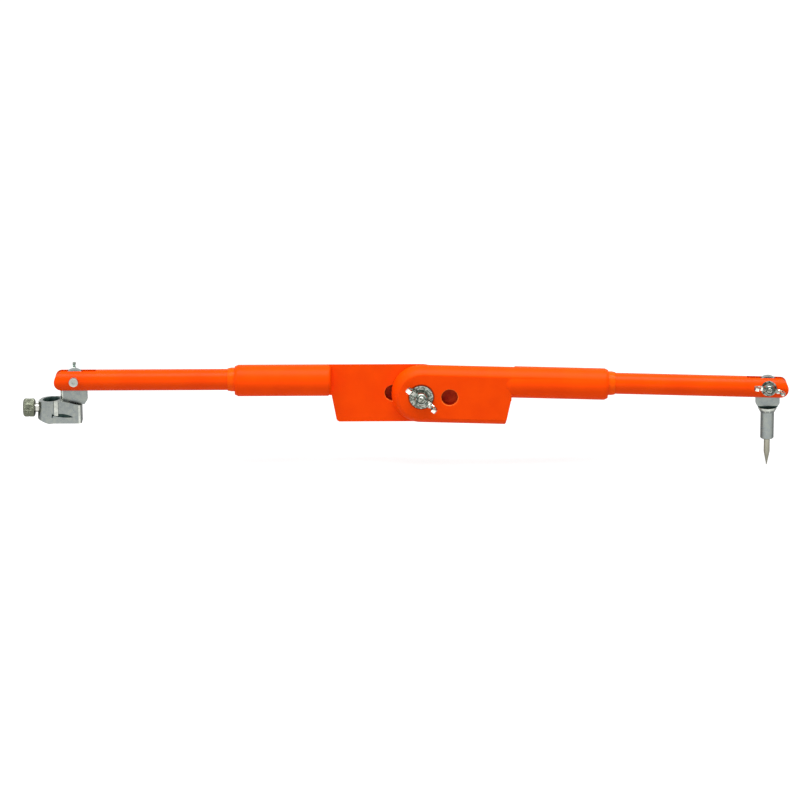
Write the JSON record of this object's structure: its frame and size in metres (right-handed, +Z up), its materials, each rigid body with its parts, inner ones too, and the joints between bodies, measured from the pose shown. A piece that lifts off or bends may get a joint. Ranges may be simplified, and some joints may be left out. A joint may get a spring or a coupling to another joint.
{
  "type": "beam compass",
  "caption": "Folding beam compass with telescopic tube arms, a steel centre point and a screw clamp for a marker.",
  "frame": {"origin": "on the drawing surface that the point touches, under the middle of the tool's length", "axes": "+X along the beam towards the steel point, +Z up from the drawing surface, +Y away from the hinge's wing nut"},
  "size_m": [0.9, 0.0606, 0.1251],
  "materials": {
    "arm_moulding": "satin orange moulding",
    "bush_moulding": "satin orange moulding",
    "painted_tube": "glossy orange paint on steel tube",
    "dark_nylon": "moulded, dark",
    "white_nylon": "moulded, natural white",
    "zinc_plated_steel": "bright zinc plate",
    "die_cast_zinc": "satin die casting",
    "needle_steel": "turned and hardened",
    "nickel_knob": "knurled, nickel-plated brass"
  },
  "bodies": {
    "rear_half": {"rear_arm": "arm_moulding", "pivot_bolt": "zinc_plated_steel", "pivot_rear_washer": "zinc_plated_steel", "friction_disc": "dark_nylon", "left_guide_bush": "bush_moulding"},
    "front_half": {"front_arm": "arm_moulding", "right_guide_bush": "bush_moulding"},
    "pivot_washer_body": {"pivot_washer": "zinc_plated_steel"},
    "pivot_nut_body": {"pivot_wing_nut": "zinc_plated_steel"},
    "left_plug_body": {"left_tube_plug": "white_nylon"},
    "left_tube_body": {"left_tube": "painted_tube", "left_fork_insert": "bush_moulding", "marker_holder_bolt": "zinc_plated_steel"},
    "right_plug_body": {"right_tube_plug": "white_nylon"},
    "right_tube_body": {"right_tube": "painted_tube", "right_fork_insert": "bush_moulding", "point_holder_bolt": "zinc_plated_steel"},
    "marker_body": {"marker_holder": "die_cast_zinc"},
    "marker_washer_body": {"marker_holder_washer": "zinc_plated_steel"},
    "marker_nut_body": {"marker_holder_wing_nut": "zinc_plated_steel"},
    "pad_body": {"pressure_pad": "nickel_knob"},
    "clamp_screw_body": {"clamp_screw": "nickel_knob", "clamp_knob": "nickel_knob"},
    "point_body": {"point_holder": "die_cast_zinc", "needle": "needle_steel"},
    "point_washer_body": {"point_holder_washer": "zinc_plated_steel"},
    "point_nut_body": {"point_holder_wing_nut": "zinc_plated_steel"}
  },
  "joints": [
    {"name": "fold", "type": "hinge", "parent": "rear_half", "child": "front_half", "pos_m": [0.01868, 0.00475, 0.09009], "axis": [0, 1, 0], "range_deg": [-1.7, 162]},
    {"name": "pivot_nut_feed", "type": "slide", "parent": "rear_half", "child": "pivot_washer_body", "axis": [0, -1, 0], "range_m": [0, 0.0015]},
    {"name": "pivot_nut_turn", "type": "hinge", "parent": "pivot_washer_body", "child": "pivot_nut_body", "pos_m": [0.01868, 0.00475, 0.09009], "axis": [0, -1, 0], "range_deg": [0, 360]},
    {"name": "left_tube_slide", "type": "slide", "parent": "rear_half", "child": "left_plug_body", "axis": [1, 0, 0], "range_m": [0, 0.071]},
    {"name": "left_tube_turn", "type": "hinge", "parent": "left_plug_body", "child": "left_tube_body", "pos_m": [-0.20032, 0.00475, 0.10779], "axis": [-1, 0, 0], "continuous": true},
    {"name": "right_tube_slide", "type": "slide", "parent": "front_half", "child": "right_plug_body", "axis": [-0.9996, 0, 0.0297], "range_m": [0, 0.071]},
    {"name": "right_tube_turn", "type": "hinge", "parent": "right_plug_body", "child": "right_tube_body", "pos_m": [0.23811, 0.00475, 0.10129], "axis": [0.9996, 0, -0.0297], "continuous": true},
    {"name": "marker_swing", "type": "hinge", "parent": "left_tube_body", "child": "marker_body", "pos_m": [-0.38882, 0.00475, 0.10979], "axis": [0, 1, 0], "range_deg": [-30, 90]},
    {"name": "point_swing", "type": "hinge", "parent": "right_tube_body", "child": "point_body", "pos_m": [0.42659, 0.00475, 0.0977], "axis": [0, -1, 0], "range_deg": [-30, 90]},
    {"name": "marker_nut_feed", "type": "slide", "parent": "left_tube_body", "child": "marker_washer_body", "axis": [0, 1, 0], "range_m": [0, 0.001]},
    {"name": "marker_nut_turn", "type": "hinge", "parent": "marker_washer_body", "child": "marker_nut_body", "pos_m": [-0.38882, 0.00475, 0.10979], "axis": [0, 1, 0], "range_deg": [0, 360]},
    {"name": "point_nut_feed", "type": "slide", "parent": "right_tube_body", "child": "point_washer_body", "axis": [0, -1, 0], "range_m": [0, 0.00125]},
    {"name": "point_nut_turn", "type": "hinge", "parent": "point_washer_body", "child": "point_nut_body", "pos_m": [0.42659, 0.00475, 0.0977], "axis": [0, -1, 0], "range_deg": [0, 360]},
    {"name": "clamp_screw_feed", "type": "slide", "parent": "marker_body", "child": "pad_body", "axis": [1, 0, 0], "range_m": [-0.002, 0.00275]},
    {"name": "clamp_screw_turn", "type": "hinge", "parent": "pad_body", "child": "clamp_screw_body", "pos_m": [-0.38882, 0.00475, 0.07439], "axis": [1, 0, 0], "range_deg": [-720, 990]}
  ],
  "couplings": [
    {"joint": "pivot_nut_feed", "follows": "pivot_nut_turn", "m_per_rad": 0.00023873},
    {"joint": "marker_nut_feed", "follows": "marker_nut_turn", "m_per_rad": 0.00015915},
    {"joint": "point_nut_feed", "follows": "point_nut_turn", "m_per_rad": 0.00019894},
    {"joint": "clamp_screw_feed", "follows": "clamp_screw_turn", "m_per_rad": 0.00015915}
  ]
}
